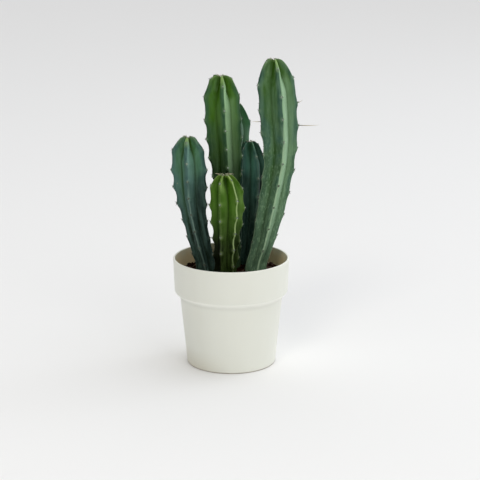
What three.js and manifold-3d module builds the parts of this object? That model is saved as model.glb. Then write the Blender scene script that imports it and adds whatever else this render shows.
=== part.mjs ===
// A potted blue myrtle cactus: six ribbed stems that grow out of dark potting
// soil in a round white pot with a wide band below its rim.
// Millimetres, +Z up. The origin is the centre of the pot's flat underside,
// and the side that faces the viewer is -Y, with +X to the right.

import * as THREE from "three";
import { mergeVertices } from "three/addons/utils/BufferGeometryUtils.js";
import Module from "manifold-3d";

const wasm = await Module();
wasm.setup();

// Clearance between two pieces that lie against each other
const clearance = 0.3;

// Pot: a thin wall that follows the band, closed at the bottom
const pot = {
  height: 121.5,
  rimRadius: 65,
  wall: 2.3,
  floor: 3,
  footRadius: 49.9,
  footRound: 1.2,
  waistRadius: 57.8,
  bandBottom: 80.4,
  bandFootRadius: 63.7,
  bandRound: 5,
  innerRound: 2.5,
  sides: 48,
};

// Soil: level at the wall, low mounds in the middle
const soil = {
  level: 104.5,
  mound: 1.3,
  rings: [0.9, 0.72, 0.52, 0.28],
};

// Roots: a plain round peg below the soil, upright whatever the stem does above
const root = {
  depth: 24,
  taper: 4,
  tipShare: 0.6,
  collar: 2.5,
  flare: 14,
};

// Ribs: crestShare is the width of the crest as a share of the whole rib,
// crestDrop how far its edges lie below its middle, as a share of the radius
const rib = {
  crestShare: 0.15,
  crestDrop: 0.02,
  scallopPower: 1.5,
  ringsPerAreole: 3,
};

// Growing tips: a blunt dome whose ribs arch over a small dimple. grooveIn and
// grooveSink are how much further in and down the grooves run than the crests,
// scallopFade the share of the scallops that is lost over the dome.
const tip = {
  rings: 5,
  runShare: 1.2,
  dimpleShare: 0.5,
  grooveIn: 0.22,
  grooveSink: 3.5,
  scallopFade: 0.75,
  bare: 3,
};

// Spines: a pair of short needles on every areole, either side of the crest.
// rootAside and rootAbove are how far from the areole's middle they grow.
const spine = {
  shortest: 1.4,
  longest: 3.2,
  thickness: 0.8,
  sunk: 1.8,
  sides: 3,
  splay: 0.7,
  rootAside: 0.8,
  rootAbove: 1.2,
  lift: 0.5,
  seed: 7,
};

// Stems. path: the axis as [x, y, z] from the soil to the tip. girth: [z, radius]
// of the rib crests. turn: [z, degrees] from the viewer's side to the first rib,
// with the others counted anticlockwise seen from above. tipPower: how square
// the dome is, 2 for round. phases: how far up each rib its areoles start, in
// shares of their spacing above firstAreole. longSpines: the few needles grown
// long, on a rib at a height, with the way that they point.
const stems = [
  {
    name: "stem_left",
    colour: 0x2c4a40,
    ribs: 5,
    turn: [[104, -4], [160, -13], [240, -8]],
    tipPower: 2.1,
    valley: 0.63,
    path: [[-28, 6, 104], [-35, 6, 139], [-43, 5, 185], [-46, 4, 225], [-46.5, 3, 259.5]],
    girth: [[104, 11.5], [140, 13], [162, 14], [185, 16.5], [208, 18.6], [226, 19.2]],
    dome: 31,
    dimple: 3.5,
    spacing: 19.5,
    scallop: 1.9,
    firstAreole: 108.5,
    phases: [0.26, 0.8, 0.35, 0.55, 0.8],
    longSpines: [],
  },
  {
    name: "stem_middle",
    colour: 0x3f6a34,
    ribs: 5,
    turn: [[104, 8], [290, 8]],
    tipPower: 2.45,
    valley: 0.67,
    path: [[-1, 14, 104], [-3, 12, 180], [-7, 11, 240], [-10, 9, 290], [-11, 8, 325.8]],
    girth: [[104, 11.5], [150, 11.8], [185, 13.2], [212, 15.8], [240, 18.8], [285, 20.3]],
    dome: 40,
    dimple: 3.5,
    spacing: 21,
    scallop: 1.7,
    firstAreole: 120,
    phases: [0, 0.85, 0.25, 0.6, 0.45],
    longSpines: [],
  },
  {
    name: "stem_front",
    colour: 0x557b2c,
    ribs: 6,
    turn: [[104, 36], [190, 36]],
    tipPower: 2.2,
    valley: 0.66,
    path: [[-6, -20, 104], [-5, -22, 150], [-4.2, -24, 190], [-6.5, -25, 220.5]],
    girth: [[104, 11.5], [130, 12.8], [150, 13.8], [166, 16], [180, 17.6], [198, 17.8]],
    dome: 25,
    dimple: 2.5,
    spacing: 19,
    scallop: 1.9,
    firstAreole: 119,
    phases: [0, 0.4, 0.7, 0.2, 0.6, 0.5],
    longSpines: [
      { rib: 3, along: 219, towards: [-1, -0.1, 0.1], length: 7.5, thickness: 0.9 },
      { rib: 2, along: 219, towards: [1, -0.15, -0.05], length: 7.5, thickness: 0.9 },
    ],
  },
  {
    name: "stem_right",
    colour: 0x36593c,
    ribs: 5,
    turn: [[104, 12], [185, 8], [250, 14], [300, 14]],
    tipPower: 2,
    valley: 0.68,
    path: [[27, 7, 104], [36, 7, 140], [46, 8, 186], [52.6, 8, 233], [50.8, 8, 281], [46.9, 8, 344]],
    girth: [[104, 12.5], [140, 13.6], [170, 16], [205, 17], [232, 18.1], [265, 21.3], [300, 22]],
    dome: 39,
    dimple: 3.5,
    spacing: 25,
    scallop: 2,
    firstAreole: 125,
    phases: [0.05, 0.8, 0.4, 0.65, 0.04],
    longSpines: [
      { rib: 1, along: 270, towards: [1, -0.05, 0.02], length: 23, thickness: 1.1 },
      { rib: 1, along: 295, towards: [1, -0.2, 0.6], length: 6.5, thickness: 0.9 },
      { rib: 4, along: 276, towards: [-1, -0.1, 0.03], length: 10, thickness: 0.9 },
    ],
  },
  {
    name: "stem_back_right",
    colour: 0x1d3a38,
    ribs: 5,
    turn: [[104, 27], [215, 27]],
    tipPower: 2.1,
    valley: 0.65,
    path: [[18, 35, 104], [22, 37.5, 160], [24, 38.5, 215], [21.5, 38.5, 247]],
    girth: [[104, 10.6], [150, 13], [190, 15.4], [222, 14.6]],
    dome: 30,
    dimple: 2.5,
    spacing: 21,
    scallop: 1.5,
    firstAreole: 122,
    phases: [0, 0.6, 0.2, 0.65, 0.4],
    longSpines: [],
  },
  {
    name: "stem_back",
    colour: 0x35563a,
    ribs: 5,
    turn: [[104, 27], [215, 27]],
    tipPower: 2.2,
    valley: 0.67,
    path: [[-6, 45, 104], [-6.5, 53.5, 185], [1.5, 60, 252], [2, 60, 286.5]],
    girth: [[104, 10.8], [160, 12.2], [210, 13.8], [245, 18]],
    dome: 36,
    dimple: 3,
    spacing: 22,
    scallop: 1.5,
    firstAreole: 115,
    phases: [0, 0.6, 0.2, 0.8, 0.4],
    longSpines: [],
  },
];

// Smooth curve through [at, value] stations, flat beyond both ends
function valueAt(stations, at) {
  const last = stations.length - 1;
  if (at <= stations[0][0]) {
    return stations[0][1];
  }
  if (at >= stations[last][0]) {
    return stations[last][1];
  }
  const slope = (i) => {
    const a = stations[Math.max(i - 1, 0)];
    const b = stations[Math.min(i + 1, last)];
    return i === 0 || i === last ? 0 : (b[1] - a[1]) / (b[0] - a[0]);
  };
  const i = stations.findIndex((s) => s[0] > at) - 1;
  const [x0, y0] = stations[i];
  const [x1, y1] = stations[i + 1];
  const span = x1 - x0;
  const t = (at - x0) / span;
  const bend = (2 * t - 3) * t * t;
  const leave = t * (1 - t) * (1 - t) * span * slope(i);
  const arrive = t * t * (1 - t) * span * slope(i + 1);
  return y0 * (1 + bend) - y1 * bend + leave - arrive;
}

// Numbers from 0 to 1 that are the same on every run
function seededRandom(seed) {
  let state = seed;
  return () => {
    state = (state * 16807) % 2147483647;
    return state / 2147483647;
  };
}

// Points of an arc in a lathe profile, angles in degrees from outward to up
function arc(centreR, centreZ, radius, from, to, steps) {
  const points = [];
  for (let i = 0; i <= steps; i += 1) {
    const angle = THREE.MathUtils.degToRad(from + ((to - from) * i) / steps);
    const r = centreR + radius * Math.cos(angle);
    points.push(new THREE.Vector2(r, centreZ + radius * Math.sin(angle)));
  }
  return points;
}

// Lathe geometry turns around +Y, so the body is stood up around +Z
function lathe(profile) {
  return new THREE.LatheGeometry(profile, pot.sides).rotateX(Math.PI / 2);
}

function toSolid(geometry) {
  const bare = geometry.clone();
  bare.deleteAttribute("normal");
  bare.deleteAttribute("uv");
  const merged = mergeVertices(bare, 1e-4);
  return new wasm.Manifold(
    new wasm.Mesh({
      numProp: 3,
      vertProperties: new Float32Array(merged.attributes.position.array),
      triVerts: new Uint32Array(merged.index.array),
    }),
  );
}

function toGeometry(solid) {
  const mesh = solid.getMesh();
  const geometry = new THREE.BufferGeometry();
  geometry.setAttribute("position", new THREE.BufferAttribute(mesh.vertProperties, 3));
  geometry.setIndex(new THREE.BufferAttribute(mesh.triVerts, 1));
  geometry.computeVertexNormals();
  return geometry;
}

function namedMesh(name, geometry, colour, roughness) {
  const material = new THREE.MeshStandardMaterial({ color: colour, roughness, metalness: 0 });
  const mesh = new THREE.Mesh(geometry, material);
  mesh.name = name;
  return mesh;
}

// Outside of the pot's lower body at height z
function bodyRadius(z) {
  const rise = (z - pot.footRound) / (pot.bandBottom - pot.footRound);
  return pot.footRadius + (pot.waistRadius - pot.footRadius) * rise;
}

// Inside of the band at height z
function bandInside(z) {
  const foot = pot.bandBottom + pot.bandRound;
  const rise = (z - foot) / (pot.height - foot);
  return pot.bandFootRadius - pot.wall + (pot.rimRadius - pot.bandFootRadius) * rise;
}

function potGeometry() {
  const lip = pot.wall / 2;
  const ledge = pot.bandBottom + pot.wall;
  const bandCentreR = pot.bandFootRadius - pot.bandRound;
  const bandCentreZ = pot.bandBottom + pot.bandRound;
  const floorWallR = bodyRadius(pot.floor) - pot.wall;
  const profile = [
    new THREE.Vector2(0, 0),
    ...arc(pot.footRadius - pot.footRound, pot.footRound, pot.footRound, -90, 0, 2),
    new THREE.Vector2(pot.waistRadius, pot.bandBottom),
    ...arc(bandCentreR, bandCentreZ, pot.bandRound, -90, 0, 4),
    ...arc(pot.rimRadius - lip, pot.height - lip, lip, 0, 180, 6),
    ...arc(bandCentreR, bandCentreZ, pot.bandRound - pot.wall, 0, -90, 2),
    new THREE.Vector2(bodyRadius(ledge) - pot.wall, ledge),
    ...arc(floorWallR - pot.innerRound, pot.floor + pot.innerRound, pot.innerRound, 0, -90, 2),
    new THREE.Vector2(0, pot.floor),
  ];
  return lathe(profile);
}

// Height of the soil's surface: low mounds that die out at the wall
function soilTop(x, y) {
  const share = Math.hypot(x, y) / (bandInside(soil.level) - clearance);
  const mounds = Math.sin(x * 0.11 + 1) + Math.sin(y * 0.13 + x * 0.04) + Math.sin(y * 0.07 - x * 0.09);
  return soil.level + (soil.mound / 2) * mounds * (1 - share * share);
}

// A soil block that fills the pot, with one plain hole for each root
function soilGeometry() {
  const bottom = pot.floor + clearance;
  const ledge = pot.bandBottom + pot.wall + clearance;
  const wallR = bandInside(soil.level) - clearance;
  const corner = bodyRadius(bottom) - pot.wall - clearance;
  const profile = [
    new THREE.Vector2(0, bottom),
    new THREE.Vector2(corner - pot.innerRound, bottom),
    new THREE.Vector2(corner, bottom + pot.innerRound),
    new THREE.Vector2(bodyRadius(ledge) - pot.wall - clearance, ledge),
    new THREE.Vector2(pot.bandFootRadius - pot.bandRound, ledge),
    new THREE.Vector2(pot.bandFootRadius - pot.wall - clearance, pot.bandBottom + pot.bandRound),
    new THREE.Vector2(wallR, soil.level),
    ...soil.rings.map((share) => new THREE.Vector2(wallR * share, soil.level)),
    new THREE.Vector2(0, soil.level),
  ];
  const geometry = lathe(profile);
  const spot = geometry.attributes.position;
  for (let i = 0; i < spot.count; i += 1) {
    if (spot.getZ(i) > soil.level - clearance) {
      spot.setZ(i, soilTop(spot.getX(i), spot.getY(i)));
    }
  }
  let solid = toSolid(geometry);
  for (const stem of stems) {
    const [x, y] = stem.path[0];
    const holeBottom = soil.level - root.depth - clearance;
    const radius = (stem.girth[0][1] + clearance) / Math.cos(Math.PI / 30);
    const height = root.depth * 2;
    const hole = new THREE.CylinderGeometry(radius, radius, height, 30).rotateX(Math.PI / 2);
    hole.translate(x, y, holeBottom + height / 2);
    solid = solid.subtract(toSolid(hole));
  }
  return toGeometry(solid);
}

function axisAt(stem, z) {
  const x = valueAt(stem.path.map((p) => [p[2], p[0]]), z);
  const y = valueAt(stem.path.map((p) => [p[2], p[1]]), z);
  return [x, y];
}

function topOf(stem) {
  return stem.path[stem.path.length - 1][2];
}

// How far past the dome's foot a point along a rib lies: 0 below it, 1 at the tip
function domeShare(stem, along) {
  const foot = topOf(stem) - stem.dome;
  return Math.min(Math.max((along - foot) / (stem.dome * tip.runShare), 0), 1);
}

// The scallop along a rib: 1 on an areole, 0 halfway to the next
function scallopAt(stem, ribIndex, along) {
  const start = stem.firstAreole + stem.phases[ribIndex] * stem.spacing;
  const wave = 0.5 + 0.5 * Math.cos((2 * Math.PI * (along - start)) / stem.spacing);
  return wave ** rib.scallopPower;
}

// Radius and height of a rib's crest. along is the height up to the dome's
// foot, and goes on over the dome from there.
function crestAt(stem, ribIndex, along) {
  const share = domeShare(stem, along);
  const fade = 1 - tip.scallopFade * THREE.MathUtils.smoothstep(share, 0, 0.5);
  const swell = stem.scallop * scallopAt(stem, ribIndex, along) * flareAt(along) * fade;
  const radius = valueAt(stem.girth, along);
  if (share === 0) {
    return { radius: radius + swell, z: along };
  }
  const angle = (share * Math.PI) / 2;
  const out = Math.cos(angle) ** (2 / stem.tipPower);
  const up = Math.sin(angle) ** (2 / stem.tipPower);
  const inward = Math.max(1 - out / tip.dimpleShare, 0);
  const foot = topOf(stem) - stem.dome;
  return {
    radius: (radius + swell) * out,
    z: foot + stem.dome * up + 0.5 * swell * up * out - stem.dimple * inward * inward,
  };
}

// Radius and height of the groove between two ribs at the same point
function valleyAt(stem, along) {
  const share = domeShare(stem, along);
  const furtherIn = tip.grooveIn * THREE.MathUtils.smoothstep(share, 0, 0.8);
  const round = 1 - (1 - stem.valley) * flareAt(along) - furtherIn;
  const radius = valueAt(stem.girth, along) * round;
  if (share === 0) {
    return { radius, z: along };
  }
  const angle = (share * Math.PI) / 2;
  const foot = topOf(stem) - stem.dome;
  const sink = stem.dimple + tip.grooveSink * Math.cos(angle);
  return {
    radius: radius * Math.cos(angle) ** (2 / stem.tipPower),
    z: foot + (stem.dome - sink) * Math.sin(angle) ** (2 / stem.tipPower),
  };
}

// Ribs rise out of the round root: 0 at the collar, 1 above the flare
function flareAt(along) {
  const rise = (along - soil.level - root.collar) / root.flare;
  return THREE.MathUtils.smoothstep(rise, 0, 1);
}

// How far a crest's ring point is moved along the rib so that every areole,
// whatever its rib's phase, has a ring point of its own
function shiftToAreole(stem, ribIndex, along) {
  if (domeShare(stem, along) > 0) {
    return 0;
  }
  const step = stem.spacing / rib.ringsPerAreole;
  const steps = (stem.firstAreole + stem.phases[ribIndex] * stem.spacing - along) / step;
  return (steps - Math.round(steps)) * step * flareAt(along);
}

// One ring of the stem. Each rib gives the three points across its crest and
// the groove after it.
function ribbedRing(stem, along) {
  const points = [];
  const half = Math.PI / stem.ribs;
  const valley = valleyAt(stem, along);
  for (let j = 0; j < stem.ribs; j += 1) {
    const middle = ribAngle(stem, j, along);
    const crest = crestAt(stem, j, along + shiftToAreole(stem, j, along));
    const edge = crest.radius * (1 - rib.crestDrop * flareAt(along));
    const reach = half * rib.crestShare;
    points.push(polarPoint(stem, edge, middle - reach, crest.z));
    points.push(polarPoint(stem, crest.radius, middle, crest.z));
    points.push(polarPoint(stem, edge, middle + reach, crest.z));
    points.push(polarPoint(stem, valley.radius, middle + half, valley.z));
  }
  return points;
}

// The way that a rib faces at a height, anticlockwise from +X
function ribAngle(stem, ribIndex, along) {
  const first = THREE.MathUtils.degToRad(valueAt(stem.turn, along) - 90);
  return first + (2 * Math.PI * ribIndex) / stem.ribs;
}

// A point around the stem's axis
function polarPoint(stem, radius, angle, z) {
  const [x, y] = axisAt(stem, z);
  return new THREE.Vector3(x + radius * Math.cos(angle), y + radius * Math.sin(angle), z);
}

// A ring of plain round root, with as many points as the ribbed rings
function roundRing(stem, radius, z) {
  const sides = stem.ribs * 4;
  const points = [];
  for (let i = 0; i < sides; i += 1) {
    const angle = ribAngle(stem, 0, z) + (2 * Math.PI * (i - 1)) / sides;
    points.push(polarPoint(stem, radius, angle, z));
  }
  return points;
}

// The stem's own body, from the foot of its root to its tip
function stemBody(stem) {
  const neck = stem.girth[0][1];
  const bottom = soil.level - root.depth;
  const collar = soil.level + root.collar;
  const foot = topOf(stem) - stem.dome;
  const rings = [
    roundRing(stem, neck * root.tipShare, bottom),
    roundRing(stem, neck, bottom + root.taper),
    ribbedRing(stem, collar),
  ];
  const count = Math.round(((foot - collar) * rib.ringsPerAreole) / stem.spacing);
  for (let i = 1; i < count; i += 1) {
    rings.push(ribbedRing(stem, collar + ((foot - collar) * i) / count));
  }
  for (let i = 0; i < tip.rings; i += 1) {
    rings.push(ribbedRing(stem, foot + (stem.dome * tip.runShare * i) / tip.rings));
  }
  const apex = topOf(stem) - stem.dimple;
  const top = polarPoint(stem, 0, 0, apex);
  return closedRings(rings, polarPoint(stem, 0, 0, bottom), top);
}

// Joins rings of equal size into one closed body with a point at either end
function closedRings(rings, bottom, top) {
  const sides = rings[0].length;
  const points = [bottom, ...rings.flat(), top];
  const faces = [];
  const at = (ring, i) => 1 + ring * sides + (i % sides);
  for (let i = 0; i < sides; i += 1) {
    faces.push(0, at(0, i + 1), at(0, i));
    for (let ring = 0; ring < rings.length - 1; ring += 1) {
      faces.push(at(ring, i), at(ring, i + 1), at(ring + 1, i + 1));
      faces.push(at(ring, i), at(ring + 1, i + 1), at(ring + 1, i));
    }
    faces.push(at(rings.length - 1, i), at(rings.length - 1, i + 1), points.length - 1);
  }
  const geometry = new THREE.BufferGeometry().setFromPoints(points);
  geometry.setIndex(faces);
  return geometry;
}

// A needle whose root is sunk below the point that it grows from
function needle(from, direction, length, thickness) {
  const whole = length + spine.sunk;
  const cone = new THREE.ConeGeometry(thickness / 2, whole, spine.sides);
  const turn = new THREE.Quaternion().setFromUnitVectors(new THREE.Vector3(0, 1, 0), direction);
  const middle = from.clone().addScaledVector(direction, whole / 2 - spine.sunk);
  return cone.applyQuaternion(turn).translate(middle.x, middle.y, middle.z);
}

// A point on a rib's crest, with the ways across, up and away from it
function crestFrame(stem, ribIndex, along) {
  const angle = ribAngle(stem, ribIndex, along);
  const crest = crestAt(stem, ribIndex, along);
  const below = crestAt(stem, ribIndex, along - 1);
  const point = polarPoint(stem, crest.radius, angle, crest.z);
  const across = new THREE.Vector3(-Math.sin(angle), Math.cos(angle), 0);
  const rising = point.clone().sub(polarPoint(stem, below.radius, angle, below.z)).normalize();
  const outward = across.clone().cross(rising).normalize();
  return { point, across, rising, outward };
}

// The places along one rib where it bears an areole
function areolesAlong(stem, ribIndex) {
  const places = [];
  const end = topOf(stem) - stem.dome + stem.dome * tip.runShare;
  const start = stem.firstAreole + stem.phases[ribIndex] * stem.spacing;
  for (let along = start; along < end - tip.bare; along += stem.spacing) {
    places.push(along);
  }
  return places;
}

function needlePair(stem, ribIndex, along, random) {
  const { point, across, rising, outward } = crestFrame(stem, ribIndex, along + spine.rootAbove);
  return [-1, 1].map((side) => {
    const from = point.clone().addScaledVector(across, side * spine.rootAside);
    const direction = outward.clone().addScaledVector(across, side * spine.splay);
    direction.addScaledVector(rising, spine.lift * (2 * random() - 1)).normalize();
    const length = THREE.MathUtils.lerp(spine.shortest, spine.longest, random());
    return needle(from, direction, length, spine.thickness);
  });
}

function stemGeometry(stem, random) {
  const needles = [];
  for (let j = 0; j < stem.ribs; j += 1) {
    for (const along of areolesAlong(stem, j)) {
      needles.push(...needlePair(stem, j, along, random));
    }
  }
  for (const long of stem.longSpines) {
    const { point } = crestFrame(stem, long.rib, long.along);
    const direction = new THREE.Vector3(...long.towards).normalize();
    needles.push(needle(point, direction, long.length, long.thickness));
  }
  return toGeometry(needles.reduce((solid, part) => solid.add(toSolid(part)), toSolid(stemBody(stem))));
}

const plant = new THREE.Group();
plant.add(namedMesh("pot", potGeometry(), 0xe4e2d9, 0.45));
plant.add(namedMesh("soil", soilGeometry(), 0x2a1c14, 0.95));
const random = seededRandom(spine.seed);
for (const stem of stems) {
  plant.add(namedMesh(stem.name, stemGeometry(stem, random), stem.colour, 0.55));
}

export default plant;
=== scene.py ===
# A potted blue myrtle cactus: six ribbed stems in a round white pot
# Sizes are millimetres, but metres in the studio and in bump nodes. +Z is up and -Y faces the viewer.

import math
import random

import bmesh
import bpy
import numpy as np
from mathutils import Matrix, Vector, noise


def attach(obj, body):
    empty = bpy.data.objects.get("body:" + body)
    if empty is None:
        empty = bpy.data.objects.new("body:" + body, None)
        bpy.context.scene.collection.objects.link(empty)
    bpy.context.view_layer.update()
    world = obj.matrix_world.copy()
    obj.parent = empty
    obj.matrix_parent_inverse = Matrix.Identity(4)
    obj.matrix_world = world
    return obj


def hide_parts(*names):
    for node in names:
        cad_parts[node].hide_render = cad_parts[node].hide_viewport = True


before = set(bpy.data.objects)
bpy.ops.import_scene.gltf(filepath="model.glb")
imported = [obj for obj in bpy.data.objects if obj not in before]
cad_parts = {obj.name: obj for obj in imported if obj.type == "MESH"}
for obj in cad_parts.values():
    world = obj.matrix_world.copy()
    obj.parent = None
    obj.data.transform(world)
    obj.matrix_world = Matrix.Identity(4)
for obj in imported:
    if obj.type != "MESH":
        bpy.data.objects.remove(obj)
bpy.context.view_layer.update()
mm = 0.001
print("frame loaded:", ", ".join(sorted(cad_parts)))


# Small helpers

def toLinear(hexColour):  # an sRGB hex value as linear RGBA, by the sRGB curve
    parts = [int(hexColour[i:i + 2], 16) / 255 for i in (1, 3, 5)]
    return tuple(c / 12.92 if c <= 0.04045 else ((c + 0.055) / 1.055) ** 2.4 for c in parts) + (1.0,)


def addNode(tree, kind, settings=None, links=None):  # a text that is set on a socket is a hex colour
    node = tree.nodes.new("ShaderNode" + kind)
    for name, value in (settings or {}).items():
        if isinstance(name, str) and hasattr(node, name):
            setattr(node, name, value)
        else:
            node.inputs[name].default_value = toLinear(value) if isinstance(value, str) else value
    for name, socket in (links or {}).items():
        tree.links.new(socket, node.inputs[name])
    return node


def newMaterial(name):
    material = bpy.data.materials.new(name)
    material.use_nodes = True
    tree = material.node_tree
    tree.nodes.clear()
    return material, tree


def addPiece(name, verts, faces, materials, faceMaterials=None):
    mesh = bpy.data.meshes.new(name)
    mesh.from_pydata([tuple(v) for v in verts], [], faces)
    for material in materials:
        mesh.materials.append(material)
    if faceMaterials is not None:
        mesh.polygons.foreach_set("material_index", faceMaterials)
    mesh.polygons.foreach_set("use_smooth", [True] * len(mesh.polygons))
    mesh.update()
    piece = bpy.data.objects.new(name, mesh)
    bpy.context.collection.objects.link(piece)
    return piece


def addAttribute(piece, name, values):
    values = np.asarray(values, dtype=np.float32)
    kind, field = ("FLOAT_VECTOR", "vector") if values.ndim == 2 else ("FLOAT", "value")
    attribute = piece.data.attributes.new(name, kind, "POINT")
    attribute.data.foreach_set(field, values.ravel())


def smoothStep(none, full, value):  # 0 at none and 1 at full, which may be the lesser of the two
    share = np.clip((value - none) / (full - none), 0, 1)
    return share * share * (3 - 2 * share)


def randomOffset(chance, reach):  # gives each form another part of a noise
    return Vector((chance.random(), chance.random(), chance.random())) * reach


# Camera, light and floor

view = {
    "place": (0.0099, -1.7391, 0.6052),
    "pitchDown": 14.95,  # degrees below level
    "lens": 120.75,  # this and the sensor are millimetres
    "sensor": 36.0,
}

studio = {
    "skyColour": "#FFFFFF",
    "skyParts": {  # (axis, 1 for its positive end and -1 for the other, strength)
        "right": (0, 1, 0.68),
        "up": (2, 1, 0.455),
        "front": (1, -1, 0.473),
        "back": (1, 1, 1.126),
    },
    "lamps": {  # power is in watts
        "overRight": {"place": (1.2, 0.2, 2.6), "size": 2.0, "power": 11.2, "colour": "#F3F8FF"},
        "keyRight": {"place": (2.355, 1.359, 1.368), "size": 1.0, "power": 5.4, "colour": "#F3F8FF"},
        "frontRight": {"place": (1.149, -1.99, 2.028), "size": 1.3, "power": 6.8, "colour": "#FFFFFF"},
        "frontLeft": {"place": (-0.763, -2.095, 2.107), "size": 1.0, "power": 14.4, "colour": "#FFF9EC"},
    },
    "aim": (0, 0, 0.1),
    "floorColour": "#EDEDED",
    "floorRadius": 7.0,
    "floorSides": 96,
}


def buildCamera():
    camera = bpy.data.objects.new("camera", bpy.data.cameras.new("camera"))
    camera.data.lens = view["lens"]
    camera.data.sensor_width = view["sensor"]
    camera.location = view["place"]
    camera.rotation_euler = (math.radians(90 - view["pitchDown"]), 0, 0)
    bpy.context.collection.objects.link(camera)
    bpy.context.scene.camera = camera
    bpy.context.scene.view_settings.view_transform = "Standard"


def buildLight():
    for name, softbox in studio["lamps"].items():
        lamp = bpy.data.objects.new(name, bpy.data.lights.new(name, "AREA"))
        lamp.data.shape = "DISK"
        lamp.data.size = softbox["size"]
        lamp.data.energy = softbox["power"]
        lamp.data.color = toLinear(softbox["colour"])[:3]
        lamp.location = softbox["place"]
        aim = Vector(studio["aim"]) - lamp.location
        lamp.rotation_euler = aim.to_track_quat("-Z", "Y").to_euler()
        lamp.visible_camera = False
        bpy.context.collection.objects.link(lamp)

    world = bpy.data.worlds.new("studioSky")
    world.use_nodes = True
    tree = world.node_tree
    tree.nodes.clear()
    way = addNode(tree, "SeparateXYZ", links={0: addNode(tree, "TexCoord").outputs["Generated"]})
    strength = None
    for axis, sign, most in studio["skyParts"].values():
        # Each part fades towards the edge of its half of the sky
        part = addNode(tree, "MapRange", {"From Max": float(sign), "To Max": most},
                       {"Value": way.outputs[axis]})
        if strength is None:
            strength = part
        else:
            strength = addNode(tree, "Math", links={0: part.outputs[0], 1: strength.outputs[0]})
    sky = addNode(tree, "Background", {"Color": studio["skyColour"]}, {"Strength": strength.outputs[0]})
    addNode(tree, "OutputWorld", links={"Surface": sky.outputs[0]})
    bpy.context.scene.world = world


def buildFloor():
    # Paper, rolled flat: pale, matt and even
    material, tree = newMaterial("paper, matt rolled")
    shader = addNode(tree, "BsdfPrincipled", {
        "Base Color": studio["floorColour"], "Roughness": 0.9, "Specular IOR Level": 0.2})
    addNode(tree, "OutputMaterial", links={"Surface": shader.outputs[0]})
    radius, sides = studio["floorRadius"], studio["floorSides"]
    turns = [math.tau * i / sides for i in range(sides)]
    ring = [(radius * math.cos(turn), radius * math.sin(turn), 0) for turn in turns]
    floor = addPiece("studioFloor", ring, [list(range(sides))], [material])


buildCamera()
buildLight()
buildFloor()
print("camera, lights and floor ready")


# Pot

pot = {
    "height": 121.5,
    "rimRadius": 65.0,
    "wall": 2.3,
    "floor": 3.0,
    "footRadius": 49.9,
    "footRound": 1.2,
    "waistRadius": 57.8,
    "bandBottom": 80.4,
    "bandFootRadius": 63.7,
    "bandRound": 5.0,
    "innerRound": 2.5,
    "bodyEnd": 0.5,  # below the band
    "crease": {"below": 0.3, "inwards": 0.02},  # between the body and the band
    "hubRadius": 4,  # of the flat faces in the middle
    "baseRecess": [(4, 1.4), (24, 1.4), (43, 1.4)],  # (radius, height)
    "baseRing": [(44.4, 0.2), (45.2, 0)],  # it stands on this
    "sides": 224,
    "steps": {"foot": 6, "body": 12, "band": 12, "bandOutside": 6, "rim": 14, "bandInside": 8, "ledge": 5,
              "floor": 4},
    "outside": "#E5E7DE",
    "bandEdgeLight": "#FCFDF5",  # painted highlight: the rounded edge and what lies close under it are lightened, lifting the shade under the band
    "bandEdgeLightAbove": (84.3, 82.8),  # from outside to the painted band edge highlight
    "bandEdgeLightBelow": (76.8, 79.6),
    "footContactShade": "#A39A8C",  # painted contact shade: a thin dark line where it stands
    "footContactShadeHeights": (1.6, 0.6),
    "dustAndShade": "#D2CEBE",
    "dustAndShadeHeight": 24.0,
    "dustAndShadeLeft": -45.0,  # it is fullest from here to the left, the side away from the light, where it is partly painted shade
    "inside": "#F2E7C6",
    # water marks, plus painted shade that deepens towards the soil
    "insideStainAndShade": "#F3CE86",
    "stainAndShadeHeights": (119.5, 105.0),
}


def bodyRadius(z):
    rise = (z - pot["footRound"]) / (pot["bandBottom"] - pot["footRound"])
    return pot["footRadius"] + (pot["waistRadius"] - pot["footRadius"]) * rise


def bandInside(z):
    foot = pot["bandBottom"] + pot["bandRound"]
    rise = (z - foot) / (pot["height"] - foot)
    return pot["bandFootRadius"] - pot["wall"] + (pot["rimRadius"] - pot["bandFootRadius"]) * rise


def arcPoints(centreR, centreZ, radius, start, end, steps):
    turns = [math.radians(start + (end - start) * i / steps) for i in range(steps + 1)]
    return [(centreR + radius * math.cos(t), centreZ + radius * math.sin(t)) for t in turns]


def straightPoints(start, end, steps):
    return [(start[0] + (end[0] - start[0]) * i / steps, start[1] + (end[1] - start[1]) * i / steps)
            for i in range(1, steps)]


def latheFaces(rows, sides):
    faces = []
    for row in range(rows - 1):
        for i in range(sides):
            j = (i + 1) % sides
            faces.append((row * sides + i, row * sides + j, (row + 1) * sides + j, (row + 1) * sides + i))
    return faces


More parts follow.
